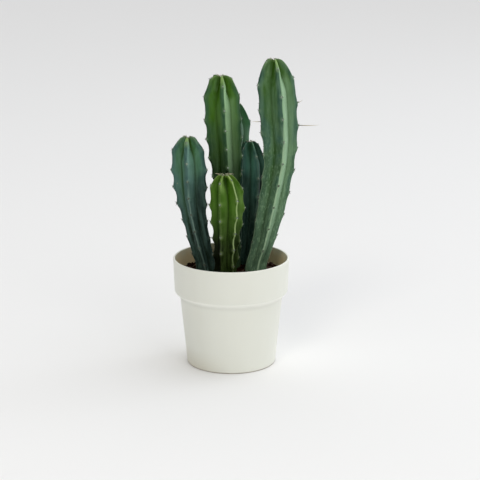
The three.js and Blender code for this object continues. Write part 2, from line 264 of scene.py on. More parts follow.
def outsidePlastic():
    # Polypropylene, injection moulded: an even satin white with a faint grain, with a painted highlight at
    # the band's rounded edge, a little dust and painted shade low on the left, and a thin painted contact
    # shade at the foot
    plastic, tree = newMaterial("polypropylene, injection moulded")
    place = addNode(tree, "TexCoord").outputs["Object"]
    spot = addNode(tree, "SeparateXYZ", links={0: place})
    flow = addNode(tree, "Mapping", {"Scale": (40, 40, 9)}, {"Vector": place})  # flow marks 25 x 110 mm
    cloud = addNode(tree, "TexNoise", {"Scale": 1.0, "Detail": 3.0, "Roughness": 0.55},
                    {"Vector": flow.outputs[0]})
    # The grain is drawn at 1.1 mm, coarser than it is, so that it shows
    grain = addNode(tree, "TexNoise", {"Scale": 900.0, "Detail": 2.0}, {"Vector": place})

    # (what the zone follows, where there is none, where it is full, most of it)
    zones = {
        "low": (spot.outputs[2], pot["dustAndShadeHeight"], 0.0, 0.8),
        "left": (spot.outputs[0], 0.0, pot["dustAndShadeLeft"], 1.0),
        "above": (spot.outputs[2], *pot["bandEdgeLightAbove"], 1.0),
        "below": (spot.outputs[2], *pot["bandEdgeLightBelow"], 1.0),
        "footContactShade": (spot.outputs[2], *pot["footContactShadeHeights"], 1.0),
    }
    zone = {key: addNode(tree, "MapRange", {"From Min": none * mm, "From Max": full * mm, "To Max": most},
                         {"Value": follows}).outputs[0]
            for key, (follows, none, full, most) in zones.items()}
    # dust low on the pot, with painted shade on its left, the side away from the light
    foot = addNode(tree, "Math", {"operation": "MULTIPLY"}, {0: zone["low"], 1: zone["left"]})
    dustyAndShaded = addNode(tree, "Math", {"operation": "MULTIPLY_ADD", 1: 0.2, "use_clamp": True},
                    {0: cloud.outputs[0], 2: foot.outputs[0]})
    # painted highlight on the band's rounded edge and painted light in the shade just under it
    edge = addNode(tree, "Math", {"operation": "MULTIPLY"}, {0: zone["above"], 1: zone["below"]})
    baseTone = addNode(tree, "Mix", {"data_type": "RGBA", 6: pot["outside"], 7: pot["bandEdgeLight"]},
                    {0: edge.outputs[0]})
    dustedAndShaded = addNode(tree, "Mix", {"data_type": "RGBA", 7: pot["dustAndShade"]},
                     {0: dustyAndShaded.outputs[0], 6: baseTone.outputs[2]})
    # painted contact shade in a thin line at the foot
    contactShaded = addNode(tree, "Mix", {"data_type": "RGBA", 7: pot["footContactShade"]},
                    {0: zone["footContactShade"], 6: dustedAndShaded.outputs[2]})
    rough = addNode(tree, "MapRange", {"From Min": 0.3, "From Max": 0.7, "To Min": 0.38, "To Max": 0.5},
                    {"Value": cloud.outputs[0]})
    bump = addNode(tree, "Bump", {"Strength": 0.08, "Distance": 0.0002}, {"Height": grain.outputs[0]})
    shader = addNode(tree, "BsdfPrincipled", {"IOR": 1.49}, {
        "Base Color": contactShaded.outputs[2], "Roughness": rough.outputs[0], "Normal": bump.outputs[0]})
    addNode(tree, "OutputMaterial", links={"Surface": shader.outputs[0]})
    return plastic


def insidePlastic():
    # The same plastic inside, dulled by water marks and soil: cream, and browner and darker towards
    # the soil, partly as painted shade deep in the pot
    plastic, tree = newMaterial("polypropylene, soil stained, painted shade")
    place = addNode(tree, "TexCoord").outputs["Object"]
    spot = addNode(tree, "SeparateXYZ", links={0: place})
    drips = addNode(tree, "Mapping", {"Scale": (230, 230, 60)}, {"Vector": place})  # 4 x 17 mm runs
    run = addNode(tree, "TexNoise", {"Scale": 1.0, "Detail": 4.0, "Roughness": 0.6},
                  {"Vector": drips.outputs[0]})
    # the stain deepens towards the soil, partly as painted shade in the pot's depth
    top, bottom = pot["stainAndShadeHeights"]
    depth = addNode(tree, "MapRange", {"From Min": top * mm, "From Max": bottom * mm},
                    {"Value": spot.outputs[2]})
    wetAndShaded = addNode(tree, "Math", {"operation": "MULTIPLY_ADD", 1: 0.9, "use_clamp": True},
                  {0: run.outputs[0], 2: depth.outputs[0]})
    stainAndShade = addNode(tree, "MapRange", {"From Min": 0.45, "From Max": 1.5, "To Max": 0.75},
                    {"Value": wetAndShaded.outputs[0]})
    stainedAndShaded = addNode(tree, "Mix", {"data_type": "RGBA", 6: pot["inside"], 7: pot["insideStainAndShade"]},
                      {0: stainAndShade.outputs[0]})
    bump = addNode(tree, "Bump", {"Strength": 0.15, "Distance": 0.0003}, {"Height": run.outputs[0]})
    shader = addNode(tree, "BsdfPrincipled", {"IOR": 1.49, "Roughness": 0.6}, {
        "Base Color": stainedAndShaded.outputs[2], "Normal": bump.outputs[0]})
    addNode(tree, "OutputMaterial", links={"Surface": shader.outputs[0]})
    return plastic


def buildPot():
    lip = pot["wall"] / 2
    hub, waist, steps, crease = pot["hubRadius"], pot["waistRadius"], pot["steps"], pot["crease"]
    bandR, bandZ = pot["bandFootRadius"] - pot["bandRound"], pot["bandBottom"] + pot["bandRound"]
    ledge = pot["bandBottom"] + pot["wall"]
    inner = pot["innerRound"]
    floorWall = bodyRadius(pot["floor"]) - pot["wall"]
    foot = arcPoints(pot["footRadius"] - pot["footRound"], pot["footRound"], pot["footRound"], -90, 0,
                     steps["foot"])
    band = arcPoints(bandR, bandZ, pot["bandRound"], -90, 0, steps["band"])
    rim = arcPoints(pot["rimRadius"] - lip, pot["height"] - lip, lip, 0, 180, steps["rim"])
    ledgeArc = arcPoints(bandR, bandZ, pot["bandRound"] - pot["wall"], 0, -90, steps["ledge"])

    # The profile runs from the middle of the underside up over the rim and down to the middle of the floor
    outer = pot["baseRecess"] + pot["baseRing"] + foot
    outer += straightPoints(foot[-1], (waist, pot["bandBottom"] - pot["bodyEnd"]), steps["body"])
    outer += [(waist - crease["inwards"], pot["bandBottom"] - crease["below"])]
    outer += band + straightPoints(band[-1], rim[0], steps["bandOutside"]) + rim
    inside = straightPoints(rim[-1], ledgeArc[0], steps["bandInside"]) + ledgeArc
    inside += [(bodyRadius(ledge) - pot["wall"], ledge)]
    inside += arcPoints(floorWall - inner, pot["floor"] + inner, inner, 0, -90, steps["floor"])
    inside += [(hub, pot["floor"])]
    profile, sides = outer + inside, pot["sides"]

    turns = [math.tau * i / sides for i in range(sides)]
    verts = [(r * math.cos(t) * mm, r * math.sin(t) * mm, z * mm) for r, z in profile for t in turns]
    faces = latheFaces(len(profile), sides)
    insideRow = len(outer) - 3  # the stains start just inside the rim
    faceMaterials = [1 if face // sides >= insideRow else 0 for face in range(len(faces))]
    faces += [list(range(sides))[::-1], [(len(profile) - 1) * sides + i for i in range(sides)]]
    faceMaterials += [0, 1]
    piece = addPiece("potShell", verts, faces, [outsidePlastic(), insidePlastic()], faceMaterials)
    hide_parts("pot")
    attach(piece, "root")


buildPot()
print("pot turned")


# Stems: shapes

tip = {
    "runShare": 1.2,  # length of a rib's run over the tip, as a share of the tip's height
    "dimpleShare": 0.5,  # the dimple takes this share of the radius
    "grooveIn": 0.3,  # how much further in the grooves run over the tip
    "grooveSpan": (0.0, 0.8),  # where they get there, as shares of the run
    "grooveSink": 4.5,  # and how far they sink below the crests on the way
    "hollow": 1.5,  # how far the flanks sink in over the tip
    "hollowSpan": (0.05, 0.55),
    "swellEnd": 0.5,  # the swells have reached the stem's tipSwell at this share of the run
    "swellRise": 0.5,  # how much of a swell lifts the crest over the tip
    "bare": 0.6,  # the rings stop this far before the end of the run
    "lastAreole": 9,  # no regular areole is closer to the end of the run
    "youngAreole": 16,  # and closer than this they are younger
    "youngSize": 0.8,
    "crowded": [(5.5, 0.4, 0.6), (2.6, 0.0, 0.45)],  # (before the end, more on odd ribs, size)
}

skinForm = {
    "crestShare": 0.11,  # half width of a crest, as a share of half a rib
    "crestDrop": 0.015,  # how much lower its edges are, as a share of the radius
    "crestReach": 0.12,  # its half width again, as a share of the flank
    "flankBulge": 0.75,
    "thinFlank": 8.0,  # narrower flanks bulge less
    "scallopPower": 1.6,  # more makes the swells shorter
    "oldSwell": 0.3,  # how much of the swells the oldest part of a rib keeps
    "flare": 12.0,  # the ribs rise from a round foot over this height
    "buried": 96.0,  # the skin starts here, in the soil
    "ringStep": 1.15,
    "groove": 0.35,  # half width of the sharp bottom of a groove
    "seat": {"depth": 0.35, "size": 1.3},  # the hollow that each areole sits in
    "chin": {"height": 0.45, "below": 2.4, "tall": 2.6, "wide": 3.2},  # the swelling below it
    "furrow": {"depth": 0.22, "above": 2.3, "lean": 0.55, "tall": 1.1, "wide": 4.5},  # and the line above it
    "haloSize": 2.7,  # radius of the pale ring of skin round it
    "grownSize": 0.7,  # areoles that are smaller than this have hardly shaped the rib yet
    "youngRelief": 0.25,  # so they get this share of its relief
    "unevenness": 0.09,
    "waveSize": 11.0,
    "calmMiddle": 10.0,  # nearer the axis than this the waves get lower
}

soilLevel = 104.5

# path: (x, y, height) of the axis. girth: (height, radius) of the crests. turn: (height, degrees) that the
# first rib stands right of the front. valley: radius of the grooves, as a share of the crests'.
# dome: height of the tip, and dimple: depth of its middle. tipPower: 2 is round and more is squarer.
# scallop: height of the swells at the areoles. phases: how far up each rib's areoles are moved, as a
# share of their spacing. paleCrests: how pale each crest is. woolAge, paleBelow and the cast shadow's below
# are pairs of shares of the height above the soil, none at the first and full at the second.
usualStem = {
    "ribs": 5,
    "evenBelow": (80, 100),  # the swells grow from oldSwell to full between these heights
    "tipSwell": 0.25,  # share of the swells over the tip
    "blunt": 0.12,  # how much wider the crests are over the tip
    "sideLight": 0.24,  # painted sheen on the flanks that are half turned to the light
    "shade": 0.0,  # painted shadow of the neighbours on the right: how much older and darker the flanks that face them look
    "gloom": {"amount": 0.0, "side": 1, "below": (1.0, 0.0)},  # painted shadow on the side that a neighbour keeps dark, 1 is right
    "paleBelow": (1.2, 1.0),
    "paleFoot": 1.0,  # share of the crests' paleness at the foot
    "woolAge": (0.8, 0.3),  # how grey the felt is
    "swells": [1, 1, 1, 1, 1],  # height of each rib's swells, as a share of the scallop
    "longSpines": [],
}

stems = {
    "left": usualStem | {
        "path": [(-28, 6, 104), (-35, 6, 139), (-43, 5, 185), (-46, 4, 225), (-47.6, 3, 259.5)],
        "girth": [(104, 11.5), (140, 13), (162, 14), (185, 16.5), (208, 18.6), (226, 19.2)],
        "turn": [(104, -4), (160, -12), (235, -5)],
        "valley": 0.63, "dome": 31, "tipPower": 2.0, "tipSwell": 0.7, "dimple": 3.5, "blunt": 0.3,
        "firstAreole": 108.5, "spacing": 19.5, "scallop": 1.9, "evenBelow": (145, 190),
        "phases": [0.26, 0.8, 0.35, 0.55, 0.8],
        "paleCrests": [1, 0.5, 0.5, 0.5, 0.5], "paleBelow": (0.74, 0.5), "paleFoot": 0.5,
        "shade": 0.3, "woolAge": (0.78, 0.5),
    },
    "middle": usualStem | {
        "path": [(-1, 14, 104), (-3, 12, 180), (-7, 11, 240), (-10, 9, 290), (-11, 8, 326.6)],
        "girth": [(104, 11.5), (150, 11.8), (185, 13.2), (212, 15.8), (240, 18.8), (285, 20.3)],
        "turn": [(104, 8), (290, 8)],
        "valley": 0.67, "dome": 40, "tipPower": 2.3, "tipSwell": 1.3, "dimple": 3.5, "blunt": 0.22,
        "firstAreole": 120, "spacing": 21, "scallop": 1.7, "swells": [1, 0.55, 1, 1, 1],
        "phases": [0, 0.5, 0.25, 0.6, 0.45],
        "paleCrests": [0, 0, 0.3, 0.3, 0], "paleBelow": (0.5, 0.3),
        "woolAge": (0.6, 0.2),
    },
    "front": usualStem | {
        "path": [(-6, -20, 104), (-5, -22, 150), (-4.2, -24, 190), (-6.5, -25, 222.5)],
        "girth": [(104, 11.5), (130, 12.8), (150, 13.8), (166, 16), (180, 17.6), (198, 17.8)],
        "turn": [(104, 43), (128, 36), (190, 36)],
        "ribs": 6, "valley": 0.66, "dome": 27, "tipPower": 2.2, "dimple": 2.5, "blunt": 0.2,
        "firstAreole": 119, "spacing": 19, "scallop": 1.9, "swells": [1, 1, 1, 1, 1, 0.8],
        "phases": [0, 0.4, 0.7, 0.2, 0.6, 0.8],
        "paleCrests": [1, 0.8, 0.7, 0.5, 0.4, 0.12], "paleFoot": 0.15,
        "gloom": {"amount": 1.0, "side": -1, "below": (0.52, 0.28)}, "woolAge": (0.8, 0.1),
        "longSpines": [
            {"rib": 3, "along": 221, "towards": (-1, -0.1, 0.1), "length": 7.5, "thickness": 0.9, "bow": 0.3},
            {"rib": 2, "along": 221, "towards": (1, -0.15, -0.05), "length": 7.5, "thickness": 0.9,
             "bow": -0.3},
        ],
    },
    "right": usualStem | {
        "path": [(27, 7, 104), (36, 7, 140), (46, 8, 186), (52.6, 8, 233), (50.8, 8, 281), (47.0, 8, 345.2)],
        "girth": [(104, 12.5), (140, 13.6), (170, 16), (205, 17), (232, 18.1), (265, 21.3), (300, 22.0)],
        "turn": [(104, 12), (185, 8), (250, 14), (300, 14)],
        "valley": 0.68, "dome": 40, "tipPower": 2.0, "dimple": 3.5,
        "firstAreole": 125, "spacing": 25, "scallop": 2, "swells": [1, 0.65, 1, 1, 0.75],
        "evenBelow": (165, 225),
        "phases": [0.2, 0.8, 0.4, 0.65, 0.54],
        "paleCrests": [1, 0.6, 0.5, 0.5, 0.6], "paleBelow": (0.74, 0.56),
        "sideLight": 0.34, "woolAge": (0.7, 0.35),
        "longSpines": [
            {"rib": 1, "along": 270, "towards": (1, -0.05, 0.02), "length": 23, "thickness": 0.9, "bow": 0.5},
            {"rib": 1, "along": 295, "towards": (1, -0.2, 0.6), "length": 6.5, "thickness": 0.8, "bow": 0.3},
            {"rib": 4, "along": 276, "towards": (-1, -0.1, 0.03), "length": 10, "thickness": 0.8,
             "bow": 0.3},
        ],
    },
    "back_right": usualStem | {
        "path": [(18, 35, 104), (22, 37.5, 160), (24, 38.5, 215), (21.5, 38.5, 247)],
        "girth": [(104, 10.6), (150, 13), (190, 15.4), (222, 14.6)],
        "turn": [(104, 24), (215, 24)],
        "valley": 0.65, "dome": 30, "tipPower": 2.1, "dimple": 2.5,
        "firstAreole": 122, "spacing": 21, "scallop": 1.5,
        "phases": [0, 0.6, 0.2, 0.65, 0.4],
        "paleCrests": [0.35, 0.5, 0.5, 0.5, 0.5],
        "shade": 0.35, "gloom": {"amount": 0.65, "side": 1, "below": (1.4, 1.0)},
    },
    "back": usualStem | {
        "path": [(-6, 45, 104), (-6.5, 53.5, 185), (3.0, 60, 252), (2.6, 60, 286.5)],
        "girth": [(104, 10.8), (160, 12.2), (210, 13.8), (245, 18)],
        "turn": [(104, 27), (215, 27)],
        "valley": 0.67, "dome": 36, "tipPower": 2.2, "dimple": 3,
        "firstAreole": 115, "spacing": 22, "scallop": 1.5,
        "phases": [0, 0.6, 0.2, 0.8, 0.4],
        "paleCrests": [1, 1, 1, 1, 1],
    },
}


def stationValue(stations, at):  # smooth curve through (at, value) stations, flat beyond both ends
    spots, values = (np.array(column, dtype=float) for column in zip(*stations))
    slopes = np.zeros(len(spots))
    slopes[1:-1] = (values[2:] - values[:-2]) / (spots[2:] - spots[:-2])
    i = np.clip(np.searchsorted(spots, at, side="right") - 1, 0, len(spots) - 2)
    span = spots[i + 1] - spots[i]
    t = np.clip((at - spots[i]) / span, 0, 1)
    bend = (2 * t - 3) * t * t
    leave = t * (1 - t) ** 2 * span * slopes[i]
    arrive = t * t * (1 - t) * span * slopes[i + 1]
    return values[i] * (1 + bend) - values[i + 1] * bend + leave - arrive


def axisAt(stem, z):
    x = stationValue([(p[2], p[0]) for p in stem["path"]], z)
    y = stationValue([(p[2], p[1]) for p in stem["path"]], z)
    return x, y


def topOf(stem):
    return stem["path"][-1][2]


def runEnd(stem):  # where the run along a rib ends, in the middle of the tip
    return topOf(stem) - stem["dome"] + stem["dome"] * tip["runShare"]


def domeShare(stem, along):  # share of the run over the tip, 0 on the upright part
    return np.clip((along - topOf(stem) + stem["dome"]) / (stem["dome"] * tip["runShare"]), 0, 1)


def flareAt(along):  # 0 where the foot is round, 1 where the ribs are full
    return smoothStep(0, 1, (along - soilLevel) / skinForm["flare"])


def ribAngle(stem, rib, along):
    return np.radians(stationValue(stem["turn"], along) - 90) + math.tau * rib / stem["ribs"]


def crestAt(stem, rib, along):  # radius and height of a rib's crest
    start = stem["firstAreole"] + stem["phases"][rib] * stem["spacing"]
    wave = (0.5 + 0.5 * np.cos(math.tau * (along - start) / stem["spacing"])) ** skinForm["scallopPower"]
    share = domeShare(stem, along)
    old = skinForm["oldSwell"]
    grown = old + (1 - old) * smoothStep(*stem["evenBelow"], along)
    swell = stem["scallop"] * stem["swells"][rib] * grown * wave * flareAt(along)
    swell = swell * (1 + (stem["tipSwell"] - 1) * smoothStep(0, tip["swellEnd"], share))
    angle = share * math.pi / 2
    out = np.cos(angle) ** (2 / stem["tipPower"])
    up = np.sin(angle) ** (2 / stem["tipPower"])
    inward = np.maximum(1 - out / tip["dimpleShare"], 0)
    foot = topOf(stem) - stem["dome"]
    radius = (stationValue(stem["girth"], along) + swell) * out
    lift = tip["swellRise"] * swell * up * out
    domeZ = foot + stem["dome"] * up + lift - stem["dimple"] * inward ** 2
    return radius, np.where(angle > 0, domeZ, along)


def valleyAt(stem, along):  # radius and height of the groove beside a rib
    share = domeShare(stem, along)
    angle = share * math.pi / 2
    depth = 1 - (1 - stem["valley"]) * flareAt(along)
    depth = depth - tip["grooveIn"] * smoothStep(*tip["grooveSpan"], share)
    radius = stationValue(stem["girth"], along) * depth * np.cos(angle) ** (2 / stem["tipPower"])
    foot = topOf(stem) - stem["dome"]
    sink = stem["dimple"] + tip["grooveSink"] * np.cos(angle)
    domeZ = foot + (stem["dome"] - sink) * np.sin(angle) ** (2 / stem["tipPower"])
    return radius, np.where(angle > 0, domeZ, along)


# Place along the rib and size of each areole: full grown ones, then the crowded young ones of the tip
def areolesOn(stem, rib):
    end = runEnd(stem)
    spots = []
    along = stem["firstAreole"] + stem["phases"][rib] * stem["spacing"]
    while along < end - tip["lastAreole"]:
        spots.append((along, 1.0 if along < end - tip["youngAreole"] else tip["youngSize"]))
        along += stem["spacing"]
    return spots + [(end - before - more * (rib % 2), size) for before, more, size in tip["crowded"]]


def polar(radius, angle, z):
    return np.stack([radius * np.cos(angle), radius * np.sin(angle), z], axis=-1)


# Stops across one flank, from the middle of the crest to the groove. The crest ends at edgeStop.
flankStops = np.array([0, 0.05, 0.1, 0.16, 0.23, 0.32, 0.43, 0.55, 0.67, 0.78, 0.88, 0.95])
edgeStop = 0.1
sunnySide = np.array((0.927, -0.375, 0))  # the way the sun comes from; the painted sheen and shade of the stems are laid out from it


def straightSkin(stem):  # the ribbed skin of a stem that stands upright on the origin
    start, end = skinForm["buried"], runEnd(stem) - tip["bare"]
    along = np.linspace(start, end, int((end - start) / skinForm["ringStep"]))
    half = math.pi / stem["ribs"]
    flare = flareAt(along)
    hollow = smoothStep(*tip["hollowSpan"], domeShare(stem, along))
    swell = skinForm["flankBulge"] * (1 - hollow) - tip["hollow"] * hollow
    edgeAngle = half * (skinForm["crestShare"] + stem["blunt"] * hollow)
    valleyR, valleyZ = valleyAt(stem, along)
    columns, fromCrest, fromValley, facing = [], [], [], []
    for rib in range(stem["ribs"]):
        middle = ribAngle(stem, rib, along)
        crestR, crestZ = crestAt(stem, rib, along)
        crest = polar(crestR, middle, crestZ)
        edgeR = crestR * (1 - skinForm["crestDrop"] * flare)
        for side, stops in ((-1, flankStops[:0:-1]), (1, flankStops)):
            edge = polar(edgeR, middle + side * edgeAngle, crestZ)
            valley = polar(valleyR, middle + side * half, valleyZ)
            slope = valley - edge
            width = np.linalg.norm(slope, axis=1, keepdims=True)
            outward = np.stack([side * slope[:, 1], -side * slope[:, 0], 0 * slope[:, 2]], axis=-1)
            outward /= np.maximum(np.linalg.norm(outward, axis=1, keepdims=True), 1e-9)
            facing += [outward @ sunnySide] * len(flankStops)
            if side == -1:
                columns.append(valley)
                fromCrest.append(width[:, 0])
                fromValley.append(width[:, 0] * 0)
            for stop in stops:
                if stop <= edgeStop:
                    share = stop / edgeStop
                    columns.append(crest + (edge - crest) * share)
                    fromCrest.append(np.linalg.norm(edge - crest, axis=1) * share)
                    fromValley.append(width[:, 0])
                else:
                    share = (stop - edgeStop) / (1 - edgeStop)
                    bulge = (swell * flare)[:, None] * 4 * share * (1 - share)
                    bulge = bulge * np.minimum(width / skinForm["thinFlank"], 1)
                    columns.append(edge + slope * share + outward * bulge)
                    fromCrest.append(width[:, 0] * (share + skinForm["crestReach"]))
                    fromValley.append(width[:, 0] * (1 - share))
    points, fromCrest, fromValley, facing = (
        np.stack(made, axis=1) for made in (columns, fromCrest, fromValley, facing))
    sharp = (fromValley < skinForm["groove"])[..., None]
    for _ in range(2):
        rounded = 0.5 * points + 0.25 * (np.roll(points, 1, axis=1) + np.roll(points, -1, axis=1))
        points = np.where(sharp, points, rounded)
    return along, points, fromCrest, fromValley, facing


def waves(place, size):  # slow uneven growth, from -1 to 1: three slanted waves that don't fall in step
    x, y, z = (place[..., i] / size for i in range(3))
    slants = 1.7 * x + 0.6 * z, 1.3 * y - 0.8 * z + 1, 0.9 * x - 0.7 * y + 1.1 * z
    return sum(np.sin(slant) for slant in slants) / len(slants)


def areoleRelief(stem, along, fromCrest):  # how far each point is pushed out, and the areoles' halos
    push, halo = np.zeros_like(fromCrest), np.zeros_like(fromCrest)
    seat, chin, furrow = skinForm["seat"], skinForm["chin"], skinForm["furrow"]
    perRib = fromCrest.shape[1] // stem["ribs"]
    for rib in range(stem["ribs"]):
        ribColumns = slice(rib * perRib, (rib + 1) * perRib)
        across = fromCrest[:, ribColumns]
        for spot, size in areolesOn(stem, rib):
            gap = (along - spot)[:, None]
            away = gap ** 2 + across ** 2
            seated = np.exp(-away / (seat["size"] * size) ** 2)
            below = np.exp(-((gap + chin["below"]) / chin["tall"]) ** 2 - (across / chin["wide"]) ** 2)
            slanted = (gap - furrow["above"] - furrow["lean"] * across) / furrow["tall"]
            above = np.exp(-slanted ** 2 - (across / furrow["wide"]) ** 2)
            weight = size if size > skinForm["grownSize"] else skinForm["youngRelief"]
            push[:, ribColumns] += weight * (
                chin["height"] * below - furrow["depth"] * above - seat["depth"] * seated)
            ring = np.exp(-away / (skinForm["haloSize"] * size) ** 2)
            halo[:, ribColumns] = np.maximum(halo[:, ribColumns], ring)
    return push, halo


# How the painted sheen (laid on as wax), the painted shade and the age of the skin are spread. Each
# pair is a span from none to full: of how far a flank is turned to the sun (Facing), of the way from the
# crest to the groove (Across), of millimetres (FromCrest) or of the height above the soil (Height).
spread = {
    "tipLength": 40,  # distances to the tip are counted as on a tip of this height
    "budShow": 0.35,  # how much of the tip's new growth all ribs but the first show
    "footHeight": (0.05, 0.4),
    # the painted sheen on the flanks turned to the light
    "sheenFacing": (0.82, 0.97),
    "sheenFromCrest": (0.2, 1.1),
    "sheenLost": {"atFoot": 0.8, "lessAtTop": 0.44},  # how much of it the groove loses
    "sheenAcross": (0.25, 1.0),
    "sideFacing": (0.52, 0.66),
    "sideEndFacing": (0.8, 0.93),
    "sideAcross": (0.25, 0.9),
    "shadeFacing": (0.1, 0.3),
    "shadeEaseFacing": (0.6, 0.9),
    "shadeEase": 0.5,  # share of the shade that flanks nearer to the sun's side lose
    "shadeHeight": (0.82, 0.62),
    "castShadowSide": (0.4, 0.6),  # how far round to its side it starts
}


def skinMarks(stem, along, points, radial, fromCrest, fromValley, facing, halo):
    perRib = fromCrest.shape[1] // stem["ribs"]
    rise = np.clip((points[..., 2] - soilLevel) / (topOf(stem) - soilLevel), 0, 1)
    toTip = ((runEnd(stem) - along) * spread["tipLength"] / stem["dome"])[:, None]
    palest = np.repeat(stem["paleCrests"], perRib) * smoothStep(*stem["paleBelow"], rise)
    foot = stem["paleFoot"] + (1 - stem["paleFoot"]) * smoothStep(*spread["footHeight"], rise)
    budShow = np.repeat([1.0] + [spread["budShow"]] * (stem["ribs"] - 1), perRib)
    across = fromCrest / (fromCrest + fromValley)
    lost = spread["sheenLost"]["atFoot"] - spread["sheenLost"]["lessAtTop"] * rise
    sheenKept = 1 - lost * smoothStep(*spread["sheenAcross"], across)
    sheened = smoothStep(*spread["sheenFacing"], facing) * smoothStep(*spread["sheenFromCrest"], fromCrest)
    side = smoothStep(*spread["sideFacing"], facing) * (1 - smoothStep(*spread["sideEndFacing"], facing))
    eased = spread["shadeEase"] * smoothStep(*spread["shadeEaseFacing"], facing)
    shaded = smoothStep(*spread["shadeFacing"], facing) - eased
    gloom = stem["gloom"]
    hidden = smoothStep(*spread["castShadowSide"], gloom["side"] * radial[..., 0])
    return {
        "offCrest": fromCrest,
        "offGroove": fromValley,
        "rise": rise,
        "toTip": toTip + np.zeros_like(rise),
        "halo": halo,
        "crestShow": palest * foot,
        "budShow": budShow + np.zeros_like(rise),
        # painted sheen on the flanks turned to the light, less towards the groove
        "sunny": sheened * sheenKept + stem["sideLight"] * side * smoothStep(*spread["sideAcross"], across),
        # height, lowered where the neighbours' painted shadow falls
        "fresh": rise - stem["shade"] * shaded * smoothStep(*spread["shadeHeight"], rise),
        # painted shadow on the side a neighbour hides
        "gloom": gloom["amount"] * hidden * smoothStep(*gloom["below"], rise),
    }


def buildSkin(name, stem, material):
    along, points, fromCrest, fromValley, facing = straightSkin(stem)
    rings, around = fromCrest.shape
    grain = points.copy()
    radial = points * (1, 1, 0)
    reach = np.linalg.norm(radial, axis=2, keepdims=True)
    radial /= np.maximum(reach, 1e-6)
    push, halo = areoleRelief(stem, along, fromCrest)
    growth = waves(grain, skinForm["waveSize"]) * np.minimum(reach[..., 0] / skinForm["calmMiddle"], 1)
    push = push + skinForm["unevenness"] * growth
    points = points + radial * (push * flareAt(along)[:, None])[..., None]

    x, y = axisAt(stem, points[..., 2])
    placed = points + np.stack([x, y, np.zeros_like(x)], axis=-1)
    dimple = topOf(stem) - stem["dimple"]
    endX, endY = axisAt(stem, dimple)
    verts = np.vstack([placed.reshape(-1, 3), [[endX, endY, dimple]]]) * mm
    last = (rings - 1) * around
    faces = latheFaces(rings, around)
    faces += [(last + i, last + (i + 1) % around, rings * around) for i in range(around)]
    faces.append(list(range(around))[::-1])
    piece = addPiece("skin_" + name, verts, faces, [material])

    marks = skinMarks(stem, along, points, radial, fromCrest, fromValley, facing, halo)
    for key, value in marks.items():
        addAttribute(piece, key, np.append(value.ravel(), value[-1, 0]))
    addAttribute(piece, "grain", np.vstack([grain.reshape(-1, 3), [[0, 0, topOf(stem)]]]))
    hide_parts("stem_" + name)
    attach(piece, "root")


# Stems: skin

# Each layer of colour runs from none to full over its span, up to its amount. The spans are shares of
# the height above the soil, but millimetres from the tip for young, and from the groove for the tip's
# groove shade. The bloom colour is wax, and also painted sheen on the flanks turned to the light. Edge is
# painted shade beside a crest, the tip's groove shade is painted shade in its grooves, and bud is on its
# crests.
usualSkin = {
    "youngSpan": (75, 12),
    "tipGrooveShadeSpan": (5, 2),
    "sheenHeightSpan": (0.2, 0.7),  # the painted sheen grows over this height
    "crestAmount": 0.5,
    "lineShadeAmount": 0.4,
    "line": "#15200A",  # painted shade at the dark bottom of the grooves
    "scar": "#A79A72",
    # painted shadow, near black
    "gloom": "#050602",
}

